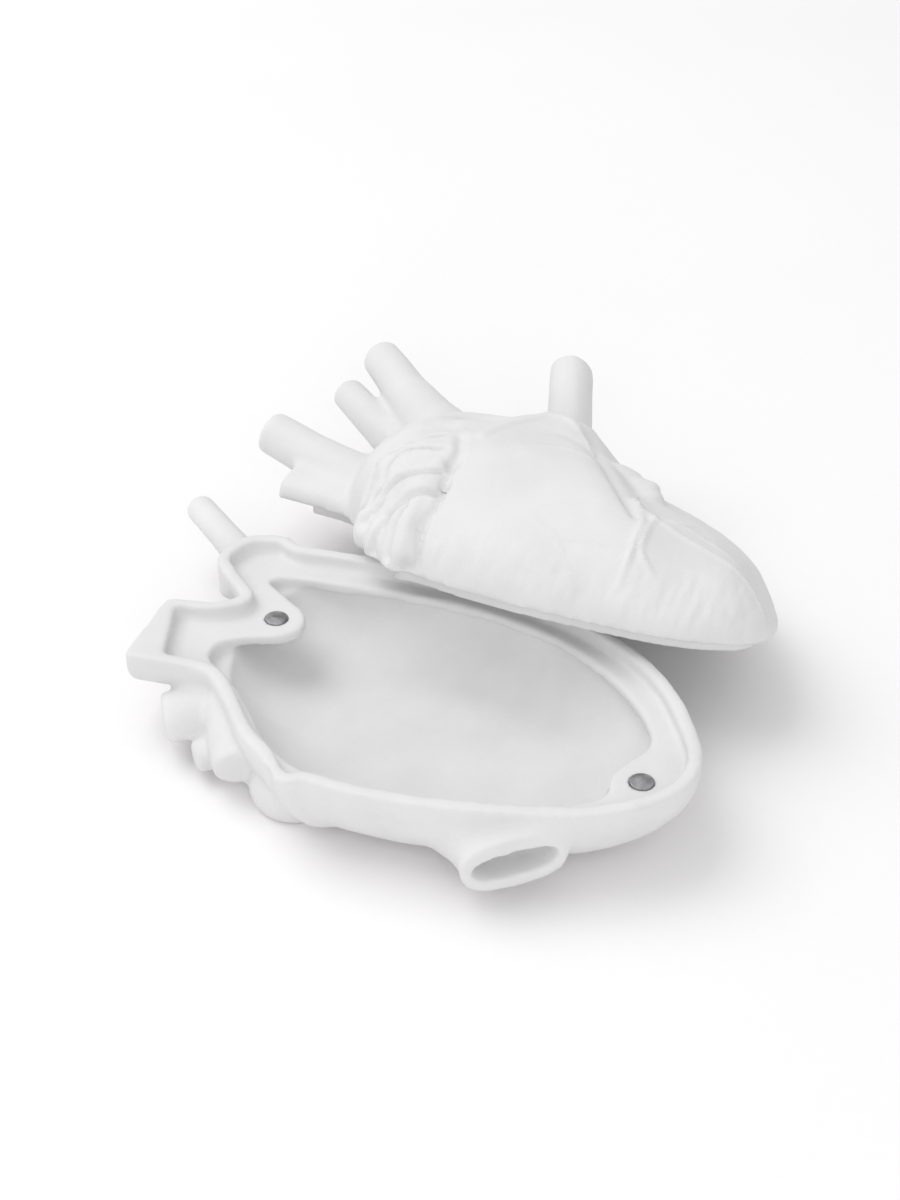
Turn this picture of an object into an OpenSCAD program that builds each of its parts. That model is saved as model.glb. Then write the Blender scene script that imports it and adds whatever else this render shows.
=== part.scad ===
// Heart-shaped trinket box in two shells: a tray that stands on the table and
// a lift-off lid, closed by two pairs of disc magnets. The lid is drawn off
// the tray: it leans on the tray's back rim, with its far side on the table.
// Origin: middle of the tray's flat foot. +X to the apex, +Y to the back.

/* [Tray] */
// Length of the rim, from the vena cava end to the apex
box_l = 155; // [130:1:186]
// Width of the rim across the heart
box_w = 103; // [86:1:124]
// Height of the rim over the table
rim_h = 26.5; // [22:0.5:32]
// Thickness of the shells
wall = 4; // [3:0.1:4.8]
// Thickness of the tray's floor
floor_t = 5; // [3.5:0.1:6]
// Width of the raised lip round the rim
lip_w = 3.8; // [3:0.1:4.6]
// Height of the lip over the shelf inside it
lip_h = 4; // [3.3:0.1:5]
// Thickness of the shelf
shelf_t = 3; // [2.6:0.1:4]

/* [Lid] */
// Height of the lid's dome over the rim
dome_h = 37; // [32:1:44]
// Height of the tongue that drops inside the lip
tongue_h = 3.2; // [2.6:0.1:3.9]
// Width of the tongue
tongue_w = 2.6; // [2:0.1:3.2]
// Clearance between the tongue and the lip
fit_gap = 0.4; // [0.3:0.05:0.6]

/* [Magnets] */
// Diameter of a disc magnet
magnet_d = 6.35; // [5:0.05:7.6]
// Thickness of a disc magnet
magnet_t = 2; // [1.5:0.1:2.4]
// How far a tray magnet stands over its shelf
magnet_proud = 0.5; // [0.3:0.05:0.6]
// Clearance round a magnet in its pocket
glue_gap = 0.1; // [0.05:0.01:0.2]
// Width of the land round a magnet
land_w = 4; // [3:0.5:5]

/* [Vessels] */
// Radius of the half vena cava along the left end
cava_r = 13.5; // [11:0.5:15]
// Radius of the half aorta at the back corner
aorta_r = 13; // [11:0.5:14.5]
// Outer width of the open vein at the front
open_vein_w = 27; // [23:0.5:32]
// Outer height of the open vein at the front
open_vein_h = 13.5; // [12:0.5:16]
// Wall of the open vein
open_vein_wall = 3.4; // [2.8:0.1:4.2]
// Depth of the open vein's bore
open_vein_depth = 5; // [4:0.5:6]

/* [Lid at rest] */
// Turn of the lid against the tray, seen from above
lid_turn = -11; // [-16:0.5:-6]
// How far in front of the lid's middle the tray's rim holds it up
lean_reach = 31; // [28:0.5:33]
// Shift of the lid along the tray
lid_x = 14; // [10:0.2:18]
// Clearance under the lid where it rests
rest_gap = 0.3; // [0.2:0.05:0.6]

/* [Hidden] */

white = "whitesmoke";
steel = "silver";
stub_end = 0.25;               // length of a stub's soft end against its radius
stub_tip = 0.86;               // radius of its tip against its radius
steps = 3;                     // points along each bend of an outline
rings = 5;                     // rings of a bowl or dome
round_fn = 28;                 // sides of a cast stub or lobe
nominal = [155, 103];          // the size that the outlines are drawn at

shelf_z = rim_h - lip_h;
pocket_d = magnet_d + 2 * glue_gap;

// Outlines: [x, y, roundness], anticlockwise, drawn at the nominal size.
// Right side: from behind the aorta, round the apex, to the front crease.
heart_back = [[-25, 47.5, 1], [-44, 48.3, 1]];
heart_front = [
    [-56, -21, 1], [-46, -36, 1], [-38, -42.5, .9], [-32.5, -50, .9],
    [-27.5, -52.3, .7], [-24, -49.5, .6], [-13, -51.5, 1], [2, -52, 1],
    [18, -50.5, 1], [34, -47.8, 1], [48, -44.6, 1], [60, -37.5, 1],
    [68.5, -28, 1], [70, -16, 1], [66.5, -6, 1], [58, 10.5, 1],
    [48, 22, 1], [33, 33, 1], [17, 40, 1], [-3, 45.5, 1]];
// The aorta's corner, the notch, and the vena cava's square end.
vessel_ends = [
    [-56.5, 47.6, .7], [-62, 52, .6], [-73.5, 49.5, .8], [-79, 37, .9],
    [-72, 28, .9], [-64, 20, .6], [-72, 15.5, .7], [-84, 14, .2],
    [-86, -13.5, .2], [-70, -13.5, .8], [-62.5, -14, .9]];
// The heart's own left side, under the vessels.
shoulder = [[-60, 42, 1], [-69, 28, 1], [-69, 8, 1], [-65, -10, 1]];
// The shelf's inner edge, with a tab for the left magnet.
shelf_back = [
    [56.5, -9, 1], [50, 4, 1], [41, 14.5, 1], [26, 27, 1], [5, 34.5, 1],
    [-15, 37.5, 1], [-40, 37.5, 1], [-58, 37, .7], [-62, 34, .6],
    [-53, 27, 1], [-47, 23, 1], [-45, 15, .9], [-49.5, 10, .9],
    [-58.5, 7.5, 1], [-65.5, 3.5, .8], [-66, -4, .8]];
shelf_front = [
    [-58, -10, 1], [-49, -20, 1], [-41, -32, 1], [-33, -39, 1],
    [-24, -43, 1], [-8, -44.5, 1], [10, -44, 1], [28, -40.8, 1],
    [42, -37, 1], [49, -32, .9], [47.5, -24, .9], [50.5, -17.5, .9]];

function stretch(p) = [p.x * box_l / nominal.x, p.y * box_w / nominal.y];
function mix(a, b, t) = a + (b - a) * t;

// Middles of the magnets, and of the wall beside each.
magnet_left = stretch([-53.6, 17.2]);
magnet_right = stretch([55.8, -24.8]);
wall_left = stretch([-67, 17]);
wall_right = stretch([63, -28]);

// A smooth closed outline: each point becomes a bend, its roundness 0 to 1.
// The phase sets where along each bend its points fall.
function bend(a, p, b, k, t) =
    let (start = mix(p, a, k / 2), end = mix(p, b, k / 2))
    mix(mix(start, p, t), mix(p, end, t), t);
function outline(points, phase) =
    let (n = len(points))
    [for (i = [0 : n - 1], s = [0 : steps - 1])
        bend(stretch(points[(i + n - 1) % n]), stretch(points[i]),
             stretch(points[(i + 1) % n]), points[i][2], (s + phase) / steps)];

rim = outline(concat(heart_front, heart_back, vessel_ends), .5);
heart_points = concat(heart_front, heart_back, shoulder);
shelf_edge = outline(concat(shelf_back, shelf_front), .5);

// Inward normal of an outline at point i, and the outline moved in by d.
function inward(pts, i) =
    let (n = len(pts), d = pts[(i + 1) % n] - pts[(i + n - 1) % n])
    [-d.y, d.x] / norm(d);
function moved_in(pts, d) =
    [for (i = [0 : len(pts) - 1]) pts[i] + d * inward(pts, i)];

// A closed loft of the heart's outline, moved in by inset, between heights.
// Each level is [share of the width, height], about the middle given, and the
// rings halfway up are shifted by the bulge. Every second ring is half a point
// round, and none has its points over the rim's.
ring_phases = [.17, .67];
module loft(inset, middle, levels, bulge = [0, 0]) {
    n = len(heart_points) * steps;
    m = len(levels);
    outlines = [for (phase = ring_phases) moved_in(outline(heart_points, phase), inset)];
    polyhedron(
        points = [for (k = [0 : m - 1], p = outlines[k % 2])
            let (share = levels[k][0],
                 q = mix(middle, p, share) + 4 * share * (1 - share) * bulge)
            [q.x, q.y, levels[k][1]]],
        faces = concat(
            [[for (i = [0 : n - 1]) i]],
            [for (k = [0 : m - 2], i = [0 : n - 1])
                let (a = k * n + i, b = k * n + (i + 1) % n)
                each k % 2 == 0 ? [[a, a + n, b], [b, a + n, b + n]]
                                : [[a, b + n, b], [a, a + n, b + n]]],
            [[for (i = [n - 1 : -1 : 0]) (m - 1) * n + i]]),
        convexity = 6);
}

// A shell is cast in one: its free-form shape is one mesh, and the magnets'
// round pockets are cut from it afterwards.
module cast() {
    resize([0, 0, 0]) children();
}

// --- Tray ---------------------------------------------------------------

foot_share = 0.56;             // width of the foot against the rim
bowl_top = 1.012;              // the bowl is trimmed back to the rim's outline
bowl_middle = stretch([0, -2]);
function bowl_levels(top, low, share) =
    [for (k = [0 : rings]) let (a = 90 * k / rings)
        [mix(share, top, sin(a)), mix(low, rim_h + 1, 1 - cos(a))]];

module bowl(inset, top, low) {
    loft(inset, bowl_middle, bowl_levels(top, low, foot_share));
}

cava_at = stretch([-60, .5]);
aorta_at = stretch([-50, 35]);
aorta_turn = 164;
trunk_l = 60;                  // long enough to reach past the rim's outline

module trunk(at, turn, r) {
    translate([at.x, at.y, 0]) rotate([0, 90, turn]) cylinder(h = trunk_l, r = r, $fn = 2 * round_fn);
}

// The vessels' half pipes, cut square by the outline at their ends.
module trunks(grow) {
    trunk(cava_at, 180, cava_r + grow);
    trunk(aorta_at, aorta_turn, aorta_r + grow);
}

// A round stub from a to b with a soft end.
module stub(a, b, r1, r2) {
    d = b - a;
    l = norm(d);
    translate(a) rotate([0, acos(d.z / l), atan2(d.y, d.x)])
        rotate_extrude($fn = round_fn)
            polygon([[0, 0], [r1, 0], [r2, l - stub_end * r2], [stub_tip * r2, l], [0, l]]);
}

function at3(x, y, z) = let (p = stretch([x, y])) [p.x, p.y, z];

vein_mouth = at3(30, -51.3, 13);
vein_turn = 30;                // the open vein points forward and to the right
vein_pitch = 2;

module vein_section(w, h, l) {
    r = h / 2;
    hull() for (s = [-1, 1]) translate([s * (w / 2 - r), 0, 0]) cylinder(h = l, r = r, $fn = round_fn);
}

// Places a section along the open vein, its +Z into the tray.
module at_vein() {
    translate(vein_mouth) rotate([0, 0, vein_turn]) rotate([-90 - vein_pitch, 0, 0]) children();
}

atrium_at = at3(-38.5, -30.5, 7.5);
atrium_r = 11;

module tray_outside() {
    intersection() {
        linear_extrude(rim_h, convexity = 6) polygon(rim);
        union() {
            bowl(0, bowl_top, 0);
            translate([0, 0, rim_h]) trunks(1.5);
        }
    }
    stub(at3(-66, 40, 19), at3(-95, 68, 20), 4.8, 4.3);
    // the bulge of the left atrium and its three veins
    intersection() {
        translate(atrium_at) sphere(r = atrium_r, $fn = round_fn);
        linear_extrude(shelf_z) square(3 * box_l, center = true);
    }
    stub(at3(-46, -12, 13), at3(-74, -18, 12.5), 6.6, 6.2);
    stub(at3(-50, -15, 12), at3(-60, -26, 8), 5, 3.6);
    stub(at3(-56, -16, 12.5), at3(-48.5, -30, 12), 6.4, 6);
    intersection() {
        at_vein() vein_section(open_vein_w, open_vein_h, 30);
        linear_extrude(shelf_z) square(3 * box_l, center = true);
    }
}

module magnet_pocket(p, top, depth) {
    translate([p.x, p.y, top - depth]) cylinder(h = depth + 1, d = pocket_d, $fn = 64);
}

// Round-ended land for a magnet, reaching to the wall beside it.
module land(p, wall_at, z0, z1) {
    hull() for (q = [p, wall_at]) translate([q.x, q.y, z0])
        cylinder(h = z1 - z0, d = pocket_d + 2 * land_w, $fn = round_fn);
}

pocket_depth = magnet_t - magnet_proud;

module tray_cast() cast() difference() {
    union() {
        difference() {
            tray_outside();
            // the hollow, up to the underside of the shelf
            intersection() {
                bowl(wall, 1, floor_t);
                linear_extrude(shelf_z - shelf_t, convexity = 6) square(3 * box_l, center = true);
            }
            // the opening inside the shelf
            translate([0, 0, shelf_z - shelf_t - 1])
                linear_extrude(lip_h + shelf_t + 2, convexity = 6) polygon(shelf_edge);
            // the step inside the lip
            translate([0, 0, shelf_z])
                linear_extrude(lip_h + 1, convexity = 6) offset(delta = -lip_w) polygon(rim);
        }
        // the land that carries the right magnet
        intersection() {
            land(magnet_right, wall_right, floor_t - 1, shelf_z);
            bowl(wall / 2, 1, floor_t - 1);
        }
    }
    at_vein() translate([0, 0, -1])
        vein_section(open_vein_w - 2 * open_vein_wall, open_vein_h - 2 * open_vein_wall,
                     open_vein_depth + 1);
}

module base_shell() color(white) difference() {
    tray_cast();
    magnet_pocket(magnet_left, shelf_z, pocket_depth);
    magnet_pocket(magnet_right, shelf_z, pocket_depth);
}

module disc(p, z) {
    translate([p.x, p.y, z]) cylinder(h = magnet_t, d = magnet_d, $fn = 64);
}

module base_magnet_left() color(steel) disc(magnet_left, shelf_z - pocket_depth);
module base_magnet_right() color(steel) disc(magnet_right, shelf_z - pocket_depth);

// --- Lid ----------------------------------------------------------------
// Drawn closed, with z = 0 on the rim, and then leaned against the tray.

dome_foot = 1.012;             // the dome is trimmed back to the rim's outline
crown_share = 0.2;             // width of the crown against the rim
crown = stretch([-14, 9]);
dome_curve = 1.35;             // above 1 the dome is more pointed than an ellipse
dome_bulge = [-4, -6];         // the right ventricle bulges to the front and left

function dome_levels(foot, low, high) =
    [for (k = [0 : rings]) let (a = 90 * k / rings)
        [mix(crown_share, foot, pow(cos(a), dome_curve)), low + (high - low) * sin(a)]];

module dome(inset, foot, low, high) {
    loft(inset, crown, dome_levels(foot, low, high), dome_bulge);
}

land_z = -tongue_h;
seat_gap = 0.3;                // air between the closed magnets
lid_magnet_z = magnet_proud - lip_h + seat_gap;

lid_cava_share = .65;          // the lid's half of the vena cava is flattened

module lid_outside() {
    intersection() {
        linear_extrude(2 * dome_h, convexity = 6) polygon(rim);
        union() {
            dome(0, dome_foot, -1, dome_h);
            scale([1, 1, lid_cava_share]) trunk(cava_at, 180, cava_r + 1.5);
            translate([0, 0, -1]) trunk(aorta_at, aorta_turn, aorta_r + 8);
        }
    }
    // arch branches, the vein on the vena cava and the pulmonary stub
    stub(at3(-52, 32, 14), at3(-91, 56, 33), 9, 6.2);
    stub(at3(-62, 33, 8), at3(-96, 45, 22), 7, 5.4);
    stub(at3(-58, 2, 6), at3(-99, 3, 14.5), 8, 6.6);
    stub(at3(-14, 24, 16), at3(-25, 47, 46.5), 7, 6.2);
    // lobes of the right auricle
    for (p = [[-44, -30, 9, 12], [-52, -12, 13, 11], [-47, 2, 19, 11], [-38, -14, 20, 12]])
        intersection() {
            translate(at3(p[0], p[1], p[2])) sphere(r = p[3], $fn = round_fn);
            linear_extrude(2 * dome_h) square(3 * box_l, center = true);
        }
}

tongue_in = lip_w + fit_gap;    // from the rim's outline to the tongue
hollow_in = tongue_in + tongue_w;

// What drops inside the tray's lip: the tongue, and the plugs in the vessels.
module tongue_block(h) {
    translate([0, 0, -tongue_h]) linear_extrude(h, convexity = 6)
        offset(delta = -tongue_in) polygon(rim);
}

module lid_hollow() {
    loft(hollow_in, crown,
         concat([[1, -tongue_h - 1]], dome_levels(1, .5, dome_h - wall)), dome_bulge);
}

module lid_cast() cast() difference() {
    union() {
        lid_outside();
        tongue_block(tongue_h + 1);
    }
    difference() {
        lid_hollow();
        // the lands that carry the magnets
        intersection() {
            union() {
                land(magnet_left, wall_left, land_z - 2, land_top);
                land(magnet_right, wall_right, land_z - 2, land_top);
            }
            translate([0, 0, -1]) tongue_block(land_top + 1);
        }
    }
}

land_top = 6;
lid_pocket_depth = lid_magnet_z - land_z + magnet_t;

module lid_closed() difference() {
    lid_cast();
    for (p = [magnet_left, magnet_right]) translate([p.x, p.y, land_z - 1])
        cylinder(h = lid_pocket_depth + 1, d = pocket_d, $fn = 64);
}

// The lean follows from the two rests: the tongue's far edge on the table and
// its near side on the tray's rim.
touch = stretch([39, 0]);      // along the lid, from its middle to where it touches
rim_back = stretch([0, 48.2]); // the back of the tray's rim, behind its middle
far_reach = max([for (p = rim) p.y]) - tongue_in;
lid_lean = asin(rim_h / (far_reach + lean_reach));
lid_z = rest_gap + far_reach * sin(lid_lean) + tongue_h * cos(lid_lean);
lid_y = rim_back.y + touch.x * sin(lid_turn)
      + lean_reach * cos(lid_lean) * cos(lid_turn);

module leaned() {
    translate([lid_x, lid_y, lid_z]) rotate([-lid_lean, 0, lid_turn]) children();
}

module lid_shell() color(white) leaned() lid_closed();
module lid_magnet_left() color(steel) leaned() disc(magnet_left, lid_magnet_z);
module lid_magnet_right() color(steel) leaned() disc(magnet_right, lid_magnet_z);

base_shell();
lid_shell();
base_magnet_left();
base_magnet_right();
lid_magnet_left();
lid_magnet_right();
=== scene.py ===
import math

import bmesh
import bpy
import numpy as np
from mathutils import Matrix, Vector, noise
from mathutils.kdtree import KDTree


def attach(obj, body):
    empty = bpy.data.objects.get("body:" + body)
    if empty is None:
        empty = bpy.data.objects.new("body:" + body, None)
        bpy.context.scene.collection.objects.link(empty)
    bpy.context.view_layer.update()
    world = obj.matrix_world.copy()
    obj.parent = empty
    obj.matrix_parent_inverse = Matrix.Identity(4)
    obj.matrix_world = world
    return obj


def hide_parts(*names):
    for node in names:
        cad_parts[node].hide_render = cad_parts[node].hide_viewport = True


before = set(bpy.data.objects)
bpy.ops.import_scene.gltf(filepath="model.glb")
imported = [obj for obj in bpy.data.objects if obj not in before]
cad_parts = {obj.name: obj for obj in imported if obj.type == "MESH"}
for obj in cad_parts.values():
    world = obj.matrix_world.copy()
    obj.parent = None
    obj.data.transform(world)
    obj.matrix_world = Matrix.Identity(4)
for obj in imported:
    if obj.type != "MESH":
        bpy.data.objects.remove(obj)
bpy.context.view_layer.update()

# --- Driving sizes, in mm and degrees -------------------------------------

RIM_H = 26.5
WALL = 4
FLOOR_T = 5
LIP_W = 3.8
LIP_H = 4
SHELF_T = 3
SHELF_Z = RIM_H - LIP_H
DOME_H = 37
TONGUE_H = 3.2
TONGUE_W = 2.6
FIT_GAP = 0.4
MAGNET_D = 6.35
MAGNET_T = 2
MAGNET_PROUD = 0.5
SEAT_GAP = 0.3
POCKET_D = 6.65
CAVA_R = 15
AORTA_R = 14.5
LID_TURN = -11
LEAN_REACH = 31
LID_X = 14
REST_GAP = 0.3
RIM_BACK_Y = 48.2
LEAN_SIDE = 39
BOWL_MIDDLE = (0, -2)
BOWL_TOP = RIM_H + 1
FOOT_SHARE = 0.56
CROWN = (-14, 9)
CROWN_SHARE = 0.2
DOME_CURVE = 1.35
DOME_BULGE = (-4, -6)
LID_CAVA_SHARE = 0.65
TRIM_SHARE = 1.012
MAGNET_LEFT = (-53.6, 17.2)
MAGNET_RIGHT = (55.8, -24.8)
CAVA_AT = (-60, 0.5)
AORTA_AT = (-50, 35)
AORTA_TURN = 164
LAND_R = POCKET_D / 2 + 4
VEIN_MOUTH = (30, -51.3, 13.6)
VEIN_TURN = 30
VEIN_ROLL = -6
BEND_STEPS = 8
COARSE_STEPS = 3
RINGS = 16

# Outlines: x, y and roundness of each bend, anticlockwise.
HEART_BACK = [(-25, 47.5, 1), (-44, 48.3, 1)]
HEART_FRONT = [
    (-56, -21, 1), (-46, -36, 1), (-38, -42.5, .9), (-32.5, -50, .9), (-27.5, -52.3, .7),
    (-24, -49.5, .6), (-13, -51.5, 1), (2, -52, 1), (18, -50.5, 1), (34, -47.8, 1),
    (48, -44.6, 1), (60, -37.5, 1), (68.5, -28, 1), (70, -16, 1), (66.5, -6, 1),
    (58, 10.5, 1), (48, 22, 1), (33, 33, 1), (17, 40, 1), (-3, 45.5, 1)]
VESSEL_ENDS = [
    (-56.5, 47.6, .7), (-62, 52, .6), (-73.5, 49.5, .8), (-79, 37, .9), (-72, 28, .9),
    (-64, 20, .6), (-72, 15.5, .7), (-84, 14, .2), (-86, -13.5, .2), (-70, -13.5, .8),
    (-62.5, -14, .9)]
SHOULDER = [(-60, 42, 1), (-69, 28, 1), (-69, 8, 1), (-65, -10, 1)]
SHELF_BACK = [
    (56.5, -9, 1), (50, 4, 1), (41, 14.5, 1), (26, 27, 1), (5, 34.5, 1), (-15, 37.5, 1),
    (-40, 37.5, 1), (-58, 37, .7), (-62, 34, .6), (-53, 27, 1), (-47, 23, 1), (-45, 15, .9),
    (-49.5, 10, .9), (-58.5, 7.5, 1), (-65.5, 3.5, .8), (-66, -4, .8)]
SHELF_FRONT = [
    (-58, -10, 1), (-49, -20, 1), (-41, -32, 1), (-33, -39, 1), (-24, -43, 1),
    (-8, -44.5, 1), (10, -44, 1), (28, -40.8, 1), (42, -37, 1), (49, -32, .9),
    (47.5, -24, .9), (50.5, -17.5, .9)]

# Vessels: x, y, z and radius at each station, from the root to the end.
TRAY_VESSELS = [
    [(-62, 36, 18, 6.5), (-71, 44.5, 19.1, 5), (-82, 55.5, 19.6, 4.5), (-95, 68, 20, 4.3)],
    [(-48, -8, 12, 8), (-61, -12, 12, 7.4), (-73, -18.5, 11.4, 6.9)],
    [(-47, -15, 8, 7), (-54, -20.5, 7.4, 5.2), (-62, -26.5, 6.8, 4.4)],
    [(-57, -13, 15.5, 6.8), (-53, -22, 13.6, 6.6), (-48, -33, 11.2, 6.4)]]
LID_VESSELS = [
    [(-38, 18, 12, 15), (-50, 28, 16, 12), (-62, 37, 20.5, 9), (-74, 45, 25.5, 7.1),
     (-91, 56, 33, 6.2)],
    [(-60, 32, 7, 8.5), (-72, 36.5, 11.5, 6.6), (-84, 40.5, 16.5, 5.6), (-96, 45, 22, 5.4)],
    [(-58, 2, 4, 11), (-72, 2, 7, 8.6), (-84, 2.5, 10.5, 7), (-99, 3, 14.5, 6.6)],
    [(-9, 21, 12, 9), (-15, 33, 27, 7.2), (-23, 47, 46.5, 6.6)]]
# The open vein: how far behind its mouth, and the share of its size there.
VEIN_OUTSIDE = [(24, 1.5), (15, 1.22), (9, 1.03), (4, .95), (1.5, .97), (-.6, 1), (-1.3, .93)]
VEIN_INSIDE = [(-3, 1.14), (-.8, 1.04), (1.5, .96), (5.5, .9), (8, .78), (9, .5)]
# The atrium's bulge and the small lumps by the groove: x, y, z, radius and stretch.
ATRIUM = [(-34, -30, 6, 10.5, (1.1, .95, 1)), (-42, -21, 6, 10, (1.05, 1, .95))]
GROOVE_LUMPS = [(15, 0, 33, 5, (1.2, 1, .8)), (21, -2, 32, 5, (1.1, 1, .8)),
                (25, -7, 30, 4.5, (1, 1, 1))]
# The soft buttress under the right magnet's land: offset x, y, height and radius.
BUTTRESS = [(-3, 1, FLOOR_T - 1, 11), (-1, .5, FLOOR_T + 8, 8.6), (0, 0, SHELF_Z, 7.3)]


def mix(a, b, t):
    return a + (b - a) * t


def outline(bends, steps=BEND_STEPS):
    """A smooth closed outline: each point becomes a quadratic bend."""
    spots = [Vector(b[:2]) for b in bends]
    points = []
    for i, here in enumerate(spots):
        before, after = spots[i - 1], spots[(i + 1) % len(spots)]
        start, end = here.lerp(before, bends[i][2] / 2), here.lerp(after, bends[i][2] / 2)
        for s in range(steps):
            t = (s + .5) / steps
            points.append(start.lerp(here, t).lerp(here.lerp(end, t), t))
    return points


def moved_in(points, distance):
    """The outline moved in, without the small loops that tight bends would make."""
    tree = KDTree(len(points))
    for i, p in enumerate(points):
        tree.insert((p.x, p.y, 0), i)
    tree.balance()
    kept = []
    for i, p in enumerate(points):
        along = (points[(i + 1) % len(points)] - points[i - 1]).normalized()
        q = p + Vector((-along.y, along.x)) * distance
        if tree.find((q.x, q.y, 0))[2] > distance * .96:
            kept.append(q)
    return kept


RIM = outline(HEART_FRONT + HEART_BACK + VESSEL_ENDS)
HEART = outline(HEART_FRONT + HEART_BACK + SHOULDER)
SHELF_EDGE = outline(SHELF_BACK + SHELF_FRONT)


# --- Solids, each a bmesh in mm ------------------------------------------

def grown_on(bm, face, first):
    """Extrudes a closing face onwards, and drops the one that is left inside."""
    grown = bmesh.ops.extrude_face_region(bm, geom=[face])["geom"]
    if not first:
        bmesh.ops.delete(bm, geom=[face], context="FACES_ONLY")
    return next(g for g in grown if isinstance(g, bmesh.types.BMFace))


def stack(points, levels, middle=(0, 0), bulge=(0, 0)):
    """A closed solid from an outline, lifted through levels of (share of the width, height).

    The rings halfway up are shifted by the bulge."""
    bm = bmesh.new()
    bulge = Vector(bulge)
    centres = [Vector(middle) + bulge * 4 * share * (1 - share) for share, _ in levels]
    share, height = levels[0]
    ring = [centres[0] + (p - Vector(middle)) * share for p in points]
    face = bm.faces.new([bm.verts.new((p.x, p.y, height)) for p in ring])
    for k, (next_share, next_height) in enumerate(levels[1:]):
        face = grown_on(bm, face, k == 0)
        ratio = next_share / share
        about = Matrix.Translation((-centres[k].x, -centres[k].y, 0))
        bmesh.ops.scale(bm, vec=(ratio, ratio, 1), space=about, verts=face.verts)
        shift = centres[k + 1] - centres[k]
        bmesh.ops.translate(bm, vec=(shift.x, shift.y, next_height - height), verts=face.verts)
        share, height = next_share, next_height
    bmesh.ops.recalc_face_normals(bm, faces=bm.faces)
    return bm


def prism(points, low, high):
    return stack(points, [(1, low), (1, high)])


def slab(low, high, half=150):
    corners = [Vector(c) for c in ((-half, -half), (half, -half), (half, half), (-half, half))]
    return prism(corners, low, high)


def pipe(path, sides=40, cap_round=True):
    """A round solid along (x, y, z, radius) stations, with a soft far end."""
    spots = [Vector(p[:3]) for p in path]
    radii = [p[3] for p in path]
    if cap_round:
        last = (spots[-1] - spots[-2]).normalized()
        spots.append(spots[-1] + last * radii[-1] * .08)
        radii.append(radii[-1] * .9)
    turn = Vector((0, 0, 1)).rotation_difference(spots[1] - spots[0])
    stations = []
    for i, spot in enumerate(spots):
        along = spots[min(i + 1, len(spots) - 1)] - spots[max(i - 1, 0)]
        turn = (turn @ Vector((0, 0, 1))).rotation_difference(along) @ turn
        size = Matrix.Diagonal((radii[i], radii[i], radii[i], 1))
        stations.append(Matrix.Translation(spot) @ turn.to_matrix().to_4x4() @ size)
    bm = bmesh.new()
    bmesh.ops.create_circle(bm, cap_ends=True, radius=1, segments=sides, matrix=stations[0])
    bm.faces.ensure_lookup_table()
    face = bm.faces[0]
    for k, (before, here) in enumerate(zip(stations, stations[1:])):
        face = grown_on(bm, face, k == 0)
        bmesh.ops.transform(bm, matrix=here @ before.inverted(), verts=face.verts)
    bmesh.ops.recalc_face_normals(bm, faces=bm.faces)
    return bm


def trunk(at, turn, radius, height, reach=60):
    """A level vessel that runs outwards from the heart at a turn."""
    way = Vector((math.cos(math.radians(turn)), math.sin(math.radians(turn)), 0))
    start = Vector((*at, height))
    end = start + way * reach
    return pipe([(*start, radius), (*end, radius)], sides=72, cap_round=False)


def ball(x, y, z, radius, stretch=(1, 1, 1), turn=0):
    bm = bmesh.new()
    place = (Matrix.Translation((x, y, z)) @ Matrix.Rotation(math.radians(turn), 4, "Z")
             @ Matrix.Diagonal((*stretch, 1)))
    bmesh.ops.create_icosphere(bm, subdivisions=4, radius=radius, matrix=place)
    return bm


def disc(at, low, high, radius, sides=64):
    bm = bmesh.new()
    place = Matrix.Translation((*at, (low + high) / 2))
    bmesh.ops.create_cone(bm, cap_ends=True, segments=sides, radius1=radius, radius2=radius,
                          depth=high - low, matrix=place)
    return bm


def as_object(bm, name):
    mesh = bpy.data.meshes.new(name)
    bm.to_mesh(mesh)
    bm.free()
    made = bpy.data.objects.new(name, mesh)
    bpy.context.scene.collection.objects.link(made)
    return made


def applied(obj):
    """The object with its modifiers made real."""
    seen = obj.evaluated_get(bpy.context.evaluated_depsgraph_get())
    mesh = bpy.data.meshes.new_from_object(seen)
    obj.modifiers.clear()
    obj.data = mesh
    return obj


def discard(obj):
    bpy.data.objects.remove(obj)


def cut(obj, solid, way="DIFFERENCE"):
    """A boolean of the object with a solid."""
    tool = as_object(solid, "tool") if isinstance(solid, bmesh.types.BMesh) else solid
    change = obj.modifiers.new("cut", "BOOLEAN")
    change.operation, change.solver, change.object = way, "MANIFOLD", tool
    applied(obj)
    discard(tool)
    return obj


def fused(solids, name, voxel, smoothing):
    """Solids and objects run together into one skin, with soft joins."""
    bm = bmesh.new()
    for solid in solids:
        part = solid.data if isinstance(solid, bpy.types.Object) else bpy.data.meshes.new("part")
        if not isinstance(solid, bpy.types.Object):
            solid.to_mesh(part)
            solid.free()
        bm.from_mesh(part)
    for solid in solids:
        if isinstance(solid, bpy.types.Object):
            discard(solid)
    return reskinned(as_object(bm, name), voxel, smoothing)


def reskinned(obj, voxel, smoothing):
    skin = obj.modifiers.new("skin", "REMESH")
    skin.mode, skin.voxel_size = "VOXEL", voxel
    if smoothing:
        soft = obj.modifiers.new("soft", "SMOOTH")
        soft.factor, soft.iterations = .5, smoothing
    return applied(obj)


# --- Shaping of a finished skin ------------------------------------------

def skin_arrays(obj):
    count = len(obj.data.vertices)
    places, normals = np.empty(count * 3, np.float32), np.empty(count * 3, np.float32)
    obj.data.vertices.foreach_get("co", places)
    obj.data.vertices.foreach_get("normal", normals)
    return places.reshape(-1, 3).astype(float), normals.reshape(-1, 3).astype(float)


def set_skin(obj, places):
    obj.data.vertices.foreach_set("co", places.astype(np.float32).ravel())
    obj.data.update()


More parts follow.
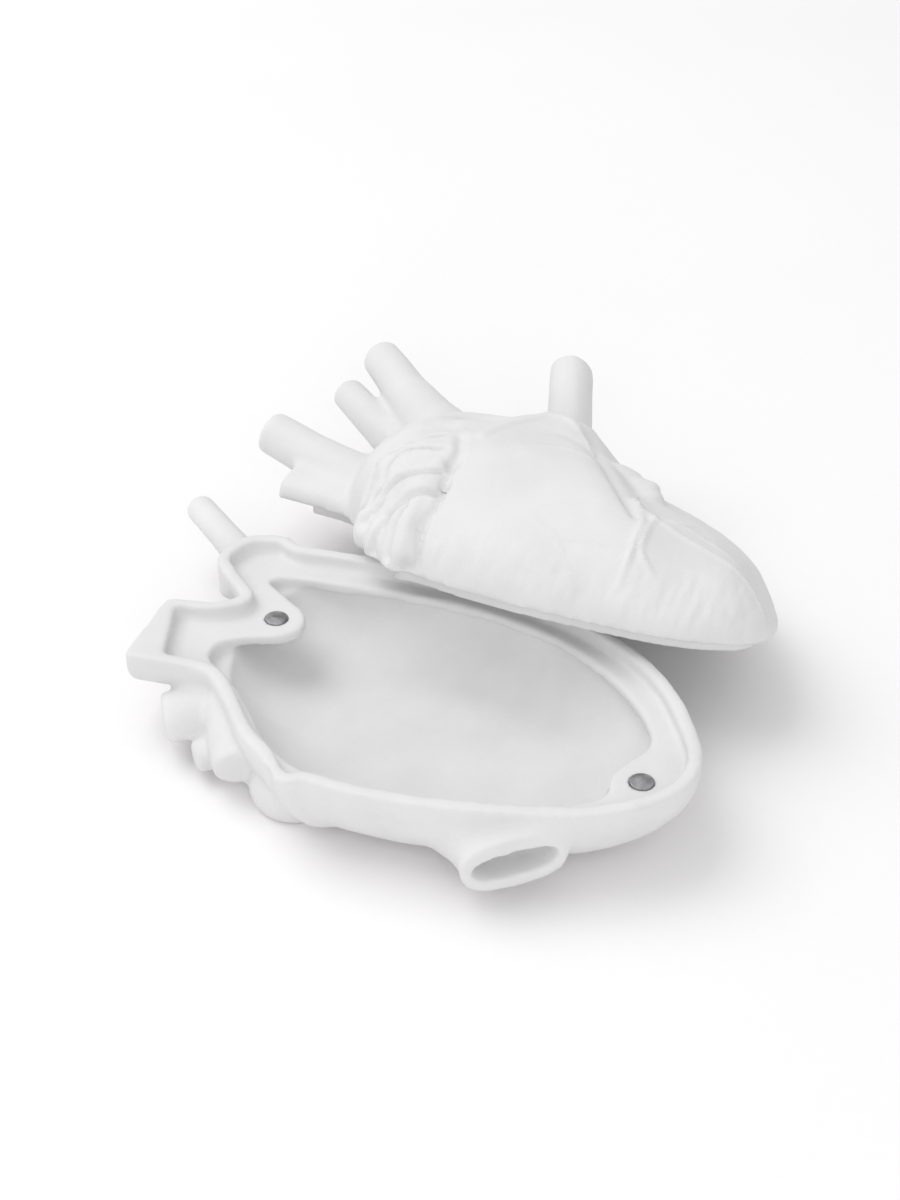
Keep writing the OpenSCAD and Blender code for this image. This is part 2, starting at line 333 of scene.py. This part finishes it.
def gap_to_line(places, line):
    """Distance of each place from a line of points, and how far along it the nearest is."""
    line = np.array(line, float)
    gap, along = np.full(len(places), 1e9), np.zeros(len(places))
    for i in range(len(line) - 1):
        step = line[i + 1] - line[i]
        t = np.clip(((places - line[i]) @ step) / (step @ step), 0, 1)
        d = np.linalg.norm(places - (line[i] + t[:, None] * step), axis=1)
        nearer = d < gap
        gap[nearer], along[nearer] = d[nearer], (i + t[nearer]) / (len(line) - 1)
    return gap, along


def smooth_line(line, rounds=3):
    """A line of points with its corners cut, so that a vein bends softly."""
    points = [Vector(p) for p in line]
    for _ in range(rounds):
        cornered = [points[0]]
        for a, b in zip(points, points[1:]):
            cornered += [a.lerp(b, .25), a.lerp(b, .75)]
        points = cornered + [points[-1]]
    return points


def on_skin(obj, line):
    """The line laid on the object's skin."""
    laid = []
    for p in smooth_line(line):
        found = obj.closest_point_on_mesh(p)
        laid.append(found[1] if found[0] else p)
    return laid


def weal(obj, line, width, height, fade=.25):
    """Raises (or, below nought, sinks) a soft ridge along a line, thinner at its end."""
    laid = on_skin(obj, line)
    places, normals = skin_arrays(obj)
    gap, along = gap_to_line(places, laid)
    here = width * (1 - .55 * along)
    lift = height * np.exp(-(gap / here) ** 2) * np.clip((1 - along) / fade, .15, 1)
    set_skin(obj, places + normals * lift[:, None])


def swell(obj, spot, radius, height):
    """Raises or sinks a soft round patch."""
    places, normals = skin_arrays(obj)
    gap = np.linalg.norm((places - np.array(spot, float)) / np.array(radius, float), axis=1)
    set_skin(obj, places + normals * (height * np.exp(-gap ** 2))[:, None])


def lifted(obj, spot, radius, height):
    """Shifts the skin up or down over a soft round patch, inside and outside together."""
    places, _ = skin_arrays(obj)
    gap = np.linalg.norm((places[:, :2] - np.array(spot, float)) / np.array(radius, float), axis=1)
    places[:, 2] += height * np.exp(-gap ** 2) * np.clip(places[:, 2] / 14, 0, 1)
    set_skin(obj, places)


def sunk_beyond(obj, start, end, depth, softness):
    """Lowers the far side of a line seen from above, so that the near side stands over it."""
    ease, past_end, far_off = 14, 6, 20
    tip_x, tip_ease, rim_ease = 56, 34, 12
    places, _ = skin_arrays(obj)
    way = np.array([end[0] - start[0], end[1] - start[1]], float)
    length = np.linalg.norm(way)
    way /= length
    off = places[:, :2] - np.array(start[:2], float)
    beyond = off[:, 1] * way[0] - off[:, 0] * way[1]
    along = off @ way
    step = 1 / (1 + np.exp(-beyond / softness))
    fade = (np.clip((length + past_end - along) / ease, 0, 1)
            * np.clip((along + ease) / ease, 0, 1))
    fade = np.maximum(fade, np.clip(beyond / far_off, 0, 1))
    tip = np.clip((tip_x - places[:, 0]) / tip_ease, 0, 1)
    rim = np.clip(places[:, 2] / rim_ease, 0, 1)
    places[:, 2] -= depth * step * fade * tip * rim
    set_skin(obj, places)


def roughened(obj, where, height, scale, stretch=(1, 1, 1)):
    """Uneven skin, as a hand-finished mould leaves, where the mask says."""
    places, normals = skin_arrays(obj)
    mask = where(places)
    lift = np.zeros(len(places))
    pull = Vector(stretch) * scale
    for i in np.nonzero(mask > .02)[0]:
        x, y, z = places[i]
        lift[i] = noise.fractal((x * pull.x, y * pull.y, z * pull.z), 1, 2, 3)
    set_skin(obj, places + normals * (height * mask * lift)[:, None])


# --- The tray -------------------------------------------------------------

def bowl_levels(top, low, share, below=None):
    """Levels of the round bowl from its low middle to the rim, or to a height below it."""
    levels = []
    for k in range(RINGS + 1):
        a = math.pi / 2 * k / RINGS
        levels.append((mix(share, top, math.sin(a)), mix(low, BOWL_TOP, 1 - math.cos(a))))
    if below is None:
        return levels
    last = math.acos(1 - (below - low) / (BOWL_TOP - low))
    return [l for l in levels if l[1] < below - .2] + [(mix(share, top, math.sin(last)), below)]


def open_vein(width, height, stations, sides=48):
    """A flattened vessel along its own way, out of the front of the tray."""
    mouth = (Matrix.Translation(VEIN_MOUTH) @ Matrix.Rotation(math.radians(VEIN_TURN), 4, "Z")
             @ Matrix.Rotation(math.radians(VEIN_ROLL), 4, "Y"))
    bm = bmesh.new()
    bmesh.ops.create_circle(bm, cap_ends=True, radius=1, segments=sides,
                            matrix=Matrix.Rotation(math.radians(90), 4, "X"))
    bm.faces.ensure_lookup_table()
    face = bm.faces[0]
    bmesh.ops.transform(bm, matrix=Matrix.Diagonal((width / 2, 1, height / 2, 1)), verts=face.verts)
    for v in face.verts:
        x, z = v.co.x / (width / 2), v.co.z / (height / 2)
        v.co.x = math.copysign(abs(x) ** .8, x) * width / 2
        v.co.z = math.copysign(abs(z) ** .8, z) * height / 2
    depth, share = stations[0]
    bmesh.ops.translate(bm, vec=(0, depth, 0), verts=face.verts)
    bmesh.ops.scale(bm, vec=(share, 1, share), verts=face.verts)
    for k, (next_depth, next_share) in enumerate(stations[1:]):
        face = grown_on(bm, face, k == 0)
        ratio = next_share / share
        bmesh.ops.scale(bm, vec=(ratio, 1, ratio), verts=face.verts)
        bmesh.ops.translate(bm, vec=(0, next_depth - depth, 0), verts=face.verts)
        depth, share = next_depth, next_share
    bmesh.ops.transform(bm, matrix=mouth, verts=bm.verts)
    bmesh.ops.recalc_face_normals(bm, faces=bm.faces)
    return bm


def tray_skin():
    """The tray before its fine shaping: body, vessels, bowl, shelf, lip and the open vein."""
    over = RIM_H + 8
    body = as_object(stack(HEART, [(FOOT_SHARE, -4)] + bowl_levels(TRIM_SHARE, 0, FOOT_SHARE)
                           + [(TRIM_SHARE, over)], BOWL_MIDDLE), "body")
    cut(body, trunk(CAVA_AT, 180, CAVA_R, RIM_H), "UNION")
    cut(body, trunk(AORTA_AT, AORTA_TURN, AORTA_R, RIM_H), "UNION")
    cut(body, prism(RIM, -5, over), "INTERSECT")
    vessels = [pipe(path) for path in TRAY_VESSELS] + [ball(*bulge) for bulge in ATRIUM]
    vessels.append(open_vein(28.5, 16.5, VEIN_OUTSIDE))
    skin = fused([body] + vessels, "tray", .85, 6)
    cut(skin, slab(0, RIM_H), "INTERSECT")
    hollow_top = SHELF_Z - SHELF_T
    cut(skin, stack(moved_in(HEART, WALL), bowl_levels(1, FLOOR_T, FOOT_SHARE, hollow_top),
                    BOWL_MIDDLE))
    cut(skin, prism(SHELF_EDGE, hollow_top - 1, over))
    cut(skin, prism(moved_in(RIM, LIP_W), SHELF_Z, over))
    # the land that carries the right magnet runs down the bowl as a soft buttress
    land = as_object(disc(MAGNET_RIGHT, FLOOR_T - 1, SHELF_Z, LAND_R), "land")
    cut(land, pipe([(MAGNET_RIGHT[0] + x, MAGNET_RIGHT[1] + y, z, radius)
                    for x, y, z, radius in BUTTRESS], cap_round=False), "UNION")
    cut(land, slab(FLOOR_T - 1, SHELF_Z), "INTERSECT")
    cut(land, stack(moved_in(HEART, WALL / 2), bowl_levels(1, FLOOR_T - 1, FOOT_SHARE),
                    BOWL_MIDDLE), "INTERSECT")
    cut(skin, land, "UNION")
    cut(skin, open_vein(21, 7, VEIN_INSIDE))
    reskinned(skin, .78, 3)
    return skin


def tray_shaped(skin):
    """Creases and pockets of the tray."""
    # the crease between the atrium and the wall
    weal(skin, [(-33, -47, 24), (-33, -48, 14), (-31, -46, 5)], 2.4, -1.3)
    # the lip wavers a little, as hand-trimmed slip does
    roughened(skin, lambda p: np.clip((p[:, 2] - 2) / 6, 0, 1), .22, .09)
    # a shallow groove between the lip and the shelf along the near left
    weal(skin, [(-60, -11, 22.5), (-53, -20, 22.5), (-45, -32, 22.5), (-37, -40, 22.5),
                (-28, -45.5, 22.5)], 1.1, -.5)
    for spot in (MAGNET_LEFT, MAGNET_RIGHT):
        cut(skin, disc(spot, SHELF_Z - MAGNET_T + MAGNET_PROUD, RIM_H, POCKET_D / 2))
    places, _ = skin_arrays(skin)
    places[:, 2] = np.maximum(places[:, 2], 0)
    set_skin(skin, places)


def without_crumbs(obj):
    """Deletes all but the largest connected skin."""
    bm = bmesh.new()
    bm.from_mesh(obj.data)
    left = set(bm.verts)
    groups = []
    while left:
        group = [left.pop()]
        for v in group:
            for e in v.link_edges:
                other = e.other_vert(v)
                if other in left:
                    left.discard(other)
                    group.append(other)
        groups.append(group)
    groups.sort(key=len)
    bmesh.ops.delete(bm, geom=[v for group in groups[:-1] for v in group], context="VERTS")
    bm.to_mesh(obj.data)
    bm.free()


# --- The lid, drawn closed with its rim at height 0 -----------------------

def dome_levels(foot, low, high):
    """Levels of the dome from its wide foot to its small crown."""
    levels = []
    for k in range(RINGS + 1):
        a = math.pi / 2 * k / RINGS
        levels.append((mix(CROWN_SHARE, foot, math.cos(a) ** DOME_CURVE),
                       mix(low, high, math.sin(a))))
    return levels


AURICLE_FOLDS = [
    # x, y, z, radius, stretch and turn of each lobe, front to back
    (-33, -38, 3, 9.5, (1.1, .75, 1.1), 25), (-40, -32, 4, 9, (1.1, .8, 1.1), 35),
    (-28.5, -38, 12, 6, (.6, 1, 1.6), 15), (-34.5, -35, 12, 6.2, (.55, 1, 1.6), 0),
    (-40.5, -30, 12, 6.5, (.6, 1, 1.5), -10), (-47, -20, 7, 8, (.8, 1.2, 1.1), -20),
    (-29, -31, 20, 5.5, (1.3, .6, 1.1), 40), (-35, -27, 20, 6, (1.5, .55, 1.1), 40),
    (-42, -21, 18, 6.5, (1.4, .6, 1.1), 40), (-29, -23, 26, 5, (1.6, .55, .9), 35),
    (-36.5, -19, 25, 5.5, (1.6, .6, .9), 35), (-45, -11, 20, 6.5, (1.4, .6, .9), 35),
    (-32, -15, 29, 4.6, (1.6, .6, .8), 30), (-40, -9, 26, 5.2, (1.5, .65, .8), 30),
    (-44, 1, 21, 6, (1.2, .8, .9), 20), (-51, -6, 11, 7.5, (1, 1, 1), 0),
]


def lid_skin():
    """The lid before its fine shaping: dome, vessels, lobes, tongue, hollow and lands."""
    deep = -6
    body = as_object(stack(HEART, [(TRIM_SHARE, deep)] + dome_levels(TRIM_SHARE, -1, DOME_H),
                           CROWN, DOME_BULGE), "body")
    cava = trunk(CAVA_AT, 180, CAVA_R, 0)
    bmesh.ops.scale(cava, vec=(1, 1, LID_CAVA_SHARE), verts=cava.verts)
    cut(body, cava, "UNION")
    cut(body, trunk(AORTA_AT, AORTA_TURN, AORTA_R + 6.5, -1), "UNION")
    cut(body, prism(RIM, deep + .5, DOME_H + 30), "INTERSECT")
    vessels = [pipe(path) for path in LID_VESSELS]
    skin = fused([body] + vessels, "lid", .9, 7)
    lumps = [ball(*lump) for lump in GROOVE_LUMPS]
    lobes = [ball(x, y, z, r, s, t) for x, y, z, r, s, t in AURICLE_FOLDS]
    skin = fused([skin] + lobes + lumps, "lid", .8, 2)
    cut(skin, slab(0, 120), "INTERSECT")
    tongue_in = LIP_W + FIT_GAP
    tongue = moved_in(RIM, tongue_in)
    cut(skin, prism(tongue, -TONGUE_H, 1), "UNION")
    hollow = as_object(stack(moved_in(HEART, tongue_in + TONGUE_W),
                             [(1, -TONGUE_H - 1)] + dome_levels(1, .5, DOME_H - WALL)[:-1]
                             + [(CROWN_SHARE, DOME_H - WALL)], CROWN, DOME_BULGE), "hollow")
    for spot in (MAGNET_LEFT, MAGNET_RIGHT):
        cut(hollow, pipe([(*spot, -8, LAND_R), (*spot, 6, LAND_R)], cap_round=False))
    cut(skin, hollow)
    reskinned(skin, .8, 2)
    return skin


# Lines of the lid's relief, as x, y and z near its skin.
RIDGE_HIGH = [(-24, -25, 30), (-22, -19, 33), (-19, -8, 36), (-17, 6, 37), (-13, 13, 37),
              (-6, 10, 37), (2, 0, 37), (9, -8, 35)]
RIDGE_LOW = [(-22, -32, 26), (-17, -29, 28), (-11, -21, 32), (-7, -17, 34), (-2, -14, 35),
             (3, -13, 35), (10, -13, 34), (14, -16, 33)]
GROOVE = [(3, 8, 37), (8, -5, 36), (11, -10, 35), (19, -18, 32), (26, -24, 29), (30, -30, 25)]
STRAND_LONG = [(26, -20, 30), (28, -24, 28), (31, -28, 25), (32, -34, 22), (32, -36, 20),
               (33, -41, 16), (33, -46, 10)]
STRAND_SHORT = [(27, -19, 30), (32, -24, 27), (34, -27, 25), (33, -32, 23), (34, -37, 19),
                (37, -39, 16), (41, -40, 13)]
APEX_NEAR = [(33, -26, 26), (41, -26, 24), (47, -25, 22), (52, -24, 20), (58, -22, 17),
             (62, -21, 14), (66, -22, 11), (68, -24, 5)]
APEX_MIDDLE = [(33, -24, 27), (36, -21, 27), (41, -20, 26), (46, -19, 24), (51, -19, 22)]
APEX_FAR = [(50, -18, 23), (55, -18, 20), (58, -17, 17), (63, -15, 13)]
VEIN_ACROSS = [(6, -41, 20), (12, -42, 18), (15, -42, 18), (22, -40, 18), (30, -39, 19)]
VEIN_DOWN = [(12, -42, 18), (16, -44, 15), (19, -46, 12), (21, -48, 9), (22, -49, 5)]
FOLD_LINES = [
    [(-46, -42, 9), (-44, -41, 13), (-39, -35, 20), (-30, -38, 25), (-24, -36, 26)],
    [(-49, -36, 14), (-45, -37, 19), (-44, -26, 23), (-36, -27, 28), (-27, -29, 30)],
    [(-38, -44, 2), (-38, -42, 6), (-32, -44, 18), (-27, -43, 22), (-22, -42, 22)],
    [(-48, -22, 22), (-40, -22, 28), (-32, -21, 32)],
    [(-32, -50, 3), (-32, -47, 13), (-30, -45, 18)],
    [(-52, -30, 8), (-51, -24, 14), (-50, -14, 19), (-44, -10, 26)],
]
AURICLE_EDGE = [(-27, -22, 33), (-23, -31, 30), (-23, -36, 26), (-21, -43, 20), (-24, -47, 14),
                (-22, -50, 2)]
# Each surface line, its width and its height, from the bold vessels to the faint veins.
SURFACE_LINES = [
    (STRAND_LONG, 1.25, 1.0), (STRAND_SHORT, 1.2, .85), (APEX_NEAR, 1.0, .65),
    (APEX_MIDDLE, 1.0, .6), (APEX_FAR, .9, .5), (VEIN_ACROSS, .8, .28), (VEIN_DOWN, .8, .28)]
# Pits in the auricle's edge and two strokes near the tip: place, size and depth.
PITS = [
    ((-25, -33, 26), (2.2, 2.2, 3.4), -2.6), ((-23, -39, 21), (2, 2, 3.2), -2.2),
    ((-25, -51, 2), (2.4, 2.4, 2), -1.8), ((-25, -47, 12), (2.2, 2.2, 4), -1.2),
    ((61, -33, 6), (3.5, 1.4, 1.4), -.5), ((64, -32, 3), (3.5, 1.4, 1.4), -.5)]
COLLAR = [(-20, -27, 29), (-15, -14, 34), (-8, -2, 36), (0, -4, 36), (10, -10, 35)]
COLLAR_FOLDS = [(-15, 13, 36), (-10, 17, 36), (-4, 19, 36)]


def lid_shaped(skin):
    """The relief of the lid: folds, seams, groove, surface vessels, pits and wrinkles."""
    swell(skin, (-37, -27, 20), (10, 15, 15), 2)
    for line in FOLD_LINES:
        weal(skin, line, 1.5, -1.7, fade=.15)
    weal(skin, AURICLE_EDGE, 1.6, -1.5, fade=.1)
    # a saddle between the auricle and the back of the trunk, and a lower tip
    lifted(skin, (-33, 8), (9, 10), -6)
    lifted(skin, (67, -10), (12, 13), -4)
    # the trunk's collar and the two seams across it
    weal(skin, COLLAR, 4.5, -.7)
    weal(skin, RIDGE_HIGH, 1.5, .7, fade=.1)
    weal(skin, RIDGE_LOW, .9, .35, fade=.1)
    # the trunk stands up at the back, with small folds along its edge
    swell(skin, (-4, 14, 36), (10, 8, 10), 2.5)
    for spot in COLLAR_FOLDS:
        swell(skin, spot, (3, 2.2, 4), 1.1)
    # the groove between the two sides of the heart
    sunk_beyond(skin, GROOVE[0], GROOVE[-1], 6.5, 3)
    weal(skin, GROOVE, 3.5, -1.4, fade=.1)
    for line, width, height in SURFACE_LINES:
        weal(skin, line, width, height)
    for spot, size, depth in PITS:
        swell(skin, spot, size, depth)
    # folds of the auricle, and brushed wrinkles towards the rim
    roughened(skin, lambda p: np.exp(-((p[:, 0] + 40) / 14) ** 2 - ((p[:, 1] + 24) / 20) ** 2)
              * (p[:, 2] > .5), 1.1, .13)
    roughened(skin, lambda p: np.clip(p[:, 2] / 4, 0, 1) * .6, .3, .08)
    roughened(skin, lambda p: np.exp(-((p[:, 2] - 9) / 7) ** 2) * (p[:, 1] < -20)
              * (p[:, 0] > -22) * (p[:, 2] > .5), .32, .5, (1, .4, .16))


def rest_place():
    """Where the closed lid goes when it leans on the tray's back rim."""
    coarse = outline(HEART_FRONT + HEART_BACK + VESSEL_ENDS, COARSE_STEPS)
    far_reach = max(p.y for p in coarse) - LIP_W - FIT_GAP
    lean = math.asin(RIM_H / (far_reach + LEAN_REACH))
    turn = math.radians(LID_TURN)
    z = REST_GAP + far_reach * math.sin(lean) + TONGUE_H * math.cos(lean)
    y = RIM_BACK_Y + LEAN_SIDE * math.sin(turn) + LEAN_REACH * math.cos(lean) * math.cos(turn)
    return (Matrix.Translation((LID_X, y, z)) @ Matrix.Rotation(turn, 4, "Z")
            @ Matrix.Rotation(-lean, 4, "X"))


REST = rest_place()
TO_METRES = Matrix.Scale(.001, 4)


# --- Materials ------------------------------------------------------------

def node_group(name, inputs, outputs):
    group = bpy.data.node_groups.new(name, "ShaderNodeTree")
    for label, kind, value in inputs:
        socket = group.interface.new_socket(label, in_out="INPUT", socket_type=kind)
        if value is not None:
            socket.default_value = value
    for label, kind in outputs:
        group.interface.new_socket(label, in_out="OUTPUT", socket_type=kind)
    return group, group.nodes.new("NodeGroupInput"), group.nodes.new("NodeGroupOutput")


def mottle_group():
    """Cloudy and fine unevenness: a mask from 0 to 1 and a height."""
    group, given, out = node_group(
        "clay_mottle",
        [("Cloud Scale", "NodeSocketFloat", 60), ("Grain Scale", "NodeSocketFloat", 1400)],
        [("Mask", "NodeSocketFloat"), ("Height", "NodeSocketFloat")])
    links = group.links
    where = group.nodes.new("ShaderNodeTexCoord")
    cloud = group.nodes.new("ShaderNodeTexNoise")
    cloud.inputs["Detail"].default_value = 4
    grain = group.nodes.new("ShaderNodeTexNoise")
    grain.inputs["Detail"].default_value = 3
    grain.inputs["Roughness"].default_value = .6
    both = group.nodes.new("ShaderNodeMath")
    both.operation = "MULTIPLY_ADD"
    both.inputs[1].default_value = .35
    spread = group.nodes.new("ShaderNodeMapRange")
    spread.inputs["From Min"].default_value = .45
    spread.inputs["From Max"].default_value = .9
    for tex, scale in ((cloud, "Cloud Scale"), (grain, "Grain Scale")):
        links.new(where.outputs["Object"], tex.inputs["Vector"])
        links.new(given.outputs[scale], tex.inputs["Scale"])
    links.new(grain.outputs["Fac"], both.inputs[0])
    links.new(cloud.outputs["Fac"], both.inputs[2])
    links.new(both.outputs[0], spread.inputs["Value"])
    links.new(spread.outputs["Result"], out.inputs["Mask"])
    links.new(grain.outputs["Fac"], out.inputs["Height"])
    return group


MOTTLE = mottle_group()


def clay_like(name, low, high, rough_low, rough_high, cloud, grain, bump, metal=0):
    """A matt or metal finish whose colour, sheen and grain vary over the piece."""
    made = bpy.data.materials.new(name)
    made.use_nodes = True
    nodes, links = made.node_tree.nodes, made.node_tree.links
    shader = nodes["Principled BSDF"]
    shader.inputs["Metallic"].default_value = metal
    shader.inputs["IOR"].default_value = 1.45
    mottle = nodes.new("ShaderNodeGroup")
    mottle.node_tree = MOTTLE
    mottle.inputs["Cloud Scale"].default_value = cloud
    mottle.inputs["Grain Scale"].default_value = grain
    colour = nodes.new("ShaderNodeMix")
    colour.data_type = "RGBA"
    colour.inputs["A"].default_value = (*low, 1)
    colour.inputs["B"].default_value = (*high, 1)
    sheen = nodes.new("ShaderNodeMapRange")
    sheen.inputs["To Min"].default_value = rough_low
    sheen.inputs["To Max"].default_value = rough_high
    relief = nodes.new("ShaderNodeBump")
    relief.inputs["Strength"].default_value = bump
    relief.inputs["Distance"].default_value = .0001
    links.new(mottle.outputs["Mask"], colour.inputs["Factor"])
    links.new(colour.outputs["Result"], shader.inputs["Base Color"])
    links.new(mottle.outputs["Mask"], sheen.inputs["Value"])
    links.new(sheen.outputs["Result"], shader.inputs["Roughness"])
    links.new(mottle.outputs["Height"], relief.inputs["Height"])
    links.new(relief.outputs["Normal"], shader.inputs["Normal"])
    return made


bisque = clay_like("white bisque", (.70, .695, .70), (.76, .755, .76), .62, .8, 55, 1500, .35)
nickel = clay_like("scuffed nickel", (.17, .17, .175), (.46, .46, .47), .34, .62, 500, 2600, .8,
                   metal=1)
floor_white = clay_like("pale floor", (.90, .89, .89), (.92, .91, .91), .7, .8, 4, 300, .05)


# --- Pieces ---------------------------------------------------------------

def finished(obj, material, body, nodes, place=Matrix.Identity(4)):
    obj.data.transform(TO_METRES @ place)
    obj.data.materials.clear()
    obj.data.materials.append(material)
    obj.data.shade_smooth()
    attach(obj, body)
    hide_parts(*nodes)
    return obj


def magnet(name, spot, low, node, body, place):
    bm = disc(spot, low, low + MAGNET_T, MAGNET_D / 2)
    edges = [e for e in bm.edges if len({round(v.co.z, 3) for v in e.verts}) == 1]
    bmesh.ops.bevel(bm, geom=edges, offset=.35, segments=3, profile=.5, affect="EDGES", material=-1)
    made = as_object(bm, name)
    finished(made, nickel, body, [node], place)
    made.data.set_sharp_from_angle(angle=math.radians(40))
    return made


tray = tray_skin()
tray_shaped(tray)
without_crumbs(tray)
finished(tray, bisque, "tray", ["base_shell"])

lid = lid_skin()
lid_shaped(lid)
lid_magnet_z = MAGNET_PROUD - LIP_H + SEAT_GAP
for at in (MAGNET_LEFT, MAGNET_RIGHT):
    cut(lid, disc(at, -TONGUE_H - 3, lid_magnet_z + MAGNET_T, POCKET_D / 2))
without_crumbs(lid)
finished(lid, bisque, "lid", ["lid_shell"], REST)

tray_magnet_z = SHELF_Z - MAGNET_T + MAGNET_PROUD
here = Matrix.Identity(4)
magnet("tray_magnet_left", MAGNET_LEFT, tray_magnet_z, "base_magnet_left", "tray", here)
magnet("tray_magnet_right", MAGNET_RIGHT, tray_magnet_z, "base_magnet_right", "tray", here)
magnet("lid_magnet_left_disc", MAGNET_LEFT, lid_magnet_z, "lid_magnet_left", "lid", REST)
magnet("lid_magnet_right_disc", MAGNET_RIGHT, lid_magnet_z, "lid_magnet_right", "lid", REST)

for scrap in [m for m in bpy.data.meshes if not m.users]:
    bpy.data.meshes.remove(scrap)


# --- Floor, light and camera ----------------------------------------------

bm = bmesh.new()
bmesh.ops.create_grid(bm, x_segments=1, y_segments=1, size=6)
ground = as_object(bm, "floor")
ground.data.materials.append(floor_white)


def softbox(name, spot, aim, size, power):
    """A square soft light at a spot, in metres and watts."""
    lamp = bpy.data.lights.new(name, "AREA")
    lamp.shape, lamp.size, lamp.size_y, lamp.energy = "RECTANGLE", size, size, power
    made = bpy.data.objects.new(name, lamp)
    made.location = spot
    made.rotation_euler = (Vector(aim) - Vector(spot)).to_track_quat("-Z", "Y").to_euler()
    bpy.context.scene.collection.objects.link(made)


LIT_SPOT = (0, .03, 0)
softbox("key", (-1.0, .2, 1.6), LIT_SPOT, 1.5, 16)
softbox("fill", (.4, -1.5, .75), LIT_SPOT, 1.0, 6.5)

sky = bpy.data.worlds.new("studio")
sky.use_nodes = True
sky.node_tree.nodes["Background"].inputs["Color"].default_value = (1, 1, 1, 1)
sky.node_tree.nodes["Background"].inputs["Strength"].default_value = .715
bpy.context.scene.world = sky
bpy.context.scene.view_settings.view_transform = "Standard"

EYE = (.1179, -.4399, .3754)
LOOKED_AT = (-.0085, .0319, .027)
eye = bpy.data.objects.new("camera", bpy.data.cameras.new("camera"))
eye.data.lens = 66
eye.data.sensor_width = 36
eye.data.clip_start = .01
eye.location = EYE
eye.rotation_euler = (Vector(LOOKED_AT) - Vector(EYE)).to_track_quat("-Z", "Y").to_euler()
bpy.context.scene.collection.objects.link(eye)
bpy.context.scene.camera = eye
